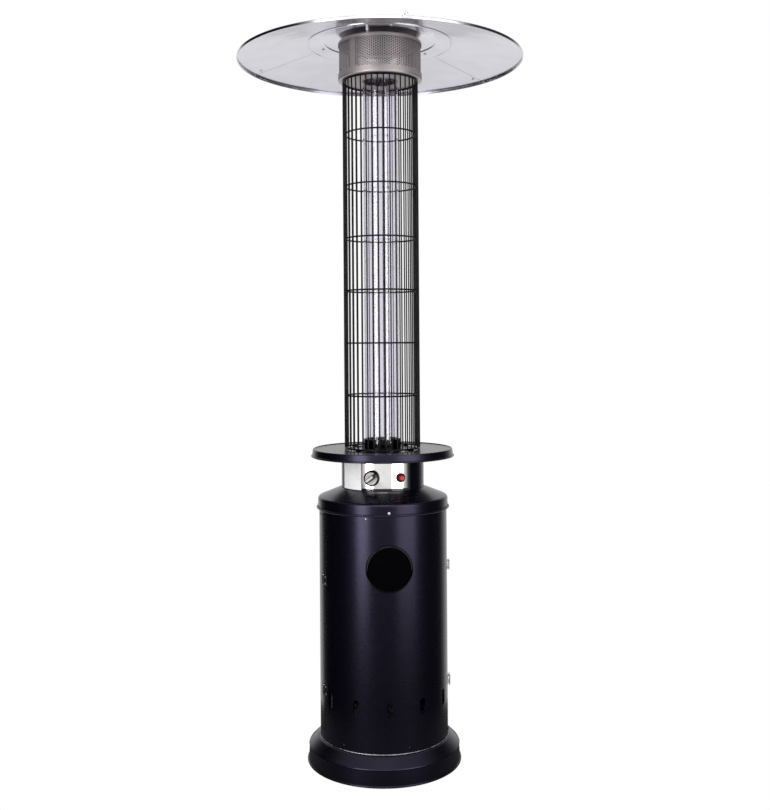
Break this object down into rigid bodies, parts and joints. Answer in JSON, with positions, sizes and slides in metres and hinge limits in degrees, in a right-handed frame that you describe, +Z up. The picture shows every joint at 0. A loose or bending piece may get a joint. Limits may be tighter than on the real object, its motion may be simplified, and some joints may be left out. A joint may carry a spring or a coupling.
{
  "type": "patio heater",
  "caption": "Free-standing gas patio heater: round bottle housing with a rear door, control band, table ring, caged glass flame tube, pierced head and a shallow round reflector.",
  "frame": {"origin": "on the floor under the middle of the round base", "axes": "+Z up along the heater's axis, the front with the control knob and the round disc faces -Y"},
  "size_m": [0.813, 0.813, 2.059],
  "materials": {
    "black_paint": "satin powder coat with a slight violet cast",
    "cage_paint": "gloss black paint",
    "gloss_black": "deep gloss black moulding",
    "stainless": "brushed stainless steel",
    "mirror_stainless": "polished stainless steel plate",
    "reflector_alloy": "polished sheet with soft reflections",
    "zinc": "bright zinc-plated steel",
    "glass": "clear borosilicate tube",
    "galvanised": "galvanised inner sheet",
    "brass": "machined brass",
    "knob_plastic": "black moulding with a light grey face",
    "button_red": "red moulding",
    "ceramic_steel": "steel and ceramic burner fittings",
    "wheel_plastic": "black moulded plastic"
  },
  "bodies": {
    "root": {"base_shell": "black_paint", "floor_pan": "galvanised", "housing": "black_paint", "housing_screws": "zinc", "front_disc": "gloss_black", "hinge_leaves_fixed": "zinc", "hinge_pins": "zinc", "latch_keepers": "zinc", "support_struts": "galvanised", "bulkhead": "galvanised", "lid": "black_paint", "lid_screws": "zinc", "control_box": "black_paint", "control_plate": "mirror_stainless", "gas_valve": "brass", "igniter_body": "knob_plastic", "inlet_pipe": "brass", "burner_pipe": "brass", "tilt_switch": "knob_plastic", "table_ring": "black_paint", "burner_deck": "galvanised", "burner": "ceramic_steel", "burner_cap": "ceramic_steel", "pilot_burner": "ceramic_steel", "thermocouple": "ceramic_steel", "spark_electrode": "ceramic_steel", "tube_collar": "cage_paint", "glass_tube": "glass", "cage_feet": "cage_paint", "cage_screws": "zinc", "cage_wires": "cage_paint", "cage_rings": "cage_paint", "head_base": "stainless", "head_screen": "stainless", "head_cap": "stainless", "tube_guide": "stainless", "diffuser_cap": "stainless", "reflector_studs": "zinc", "stud_nuts": "zinc", "centre_disc": "reflector_alloy", "clamp_ring": "reflector_alloy", "reflector_panel_1": "reflector_alloy", "reflector_panel_2": "reflector_alloy", "reflector_panel_3": "reflector_alloy", "seam_bolts": "zinc", "wheel_bracket": "black_paint", "axle": "zinc"},
    "door": {"door": "black_paint", "hinge_leaves_door": "zinc", "latch_bases": "zinc"},
    "lower_lever": {"lower_latch_lever": "zinc"},
    "lower_bail": {"lower_latch_bail": "zinc"},
    "upper_lever": {"upper_latch_lever": "zinc"},
    "upper_bail": {"upper_latch_bail": "zinc"},
    "push": {"stem_bush": "brass"},
    "knob": {"valve_stem": "brass", "control_knob": "knob_plastic"},
    "button": {"igniter_button": "button_red"},
    "wheel_l": {"wheel_left": "wheel_plastic"},
    "wheel_r": {"wheel_right": "wheel_plastic"}
  },
  "joints": [
    {"name": "door_hinge", "type": "hinge", "parent": "root", "child": "door", "pos_m": [-0.17356, -0.06317, 0.371], "axis": [0, 0, 1], "range_deg": [0, 110]},
    {"name": "lower_latch_lever_pivot", "type": "hinge", "parent": "door", "child": "lower_lever", "pos_m": [0.18806, -0.00156, 0.216], "axis": [0, 0, -1], "range_deg": [0, 150]},
    {"name": "lower_latch_bail_pivot", "type": "hinge", "parent": "lower_lever", "child": "lower_bail", "pos_m": [0.1878, 0.00545, 0.216], "axis": [0, 0, -1], "range_deg": [-165, 0]},
    {"name": "upper_latch_lever_pivot", "type": "hinge", "parent": "door", "child": "upper_lever", "pos_m": [0.18806, -0.00156, 0.545], "axis": [0, 0, -1], "range_deg": [0, 150]},
    {"name": "upper_latch_bail_pivot", "type": "hinge", "parent": "upper_lever", "child": "upper_bail", "pos_m": [0.1878, 0.00545, 0.545], "axis": [0, 0, -1], "range_deg": [-165, 0]},
    {"name": "knob_push", "type": "slide", "parent": "root", "child": "push", "axis": [0.3338, 0.9426, 0], "range_m": [0, 0.003], "stiffness_N_per_m": 400},
    {"name": "knob_turn", "type": "hinge", "parent": "push", "child": "knob", "pos_m": [-0.0434, -0.12254, 0.81], "axis": [-0.3338, -0.9426, 0], "range_deg": [0, 180]},
    {"name": "igniter_push", "type": "slide", "parent": "root", "child": "button", "axis": [-0.3338, 0.9426, 0], "range_m": [0, 0.004], "stiffness_N_per_m": 500},
    {"name": "wheel_left_spin", "type": "hinge", "parent": "root", "child": "wheel_l", "pos_m": [0.09, 0.245, 0.041], "axis": [1, 0, 0], "continuous": true},
    {"name": "wheel_right_spin", "type": "hinge", "parent": "root", "child": "wheel_r", "pos_m": [-0.09, 0.245, 0.041], "axis": [1, 0, 0], "continuous": true}
  ],
  "couplings": [
    {"joint": "lower_latch_bail_pivot", "follows": "lower_latch_lever_pivot", "ratio": -1.1},
    {"joint": "upper_latch_bail_pivot", "follows": "upper_latch_lever_pivot", "ratio": -1.1}
  ]
}
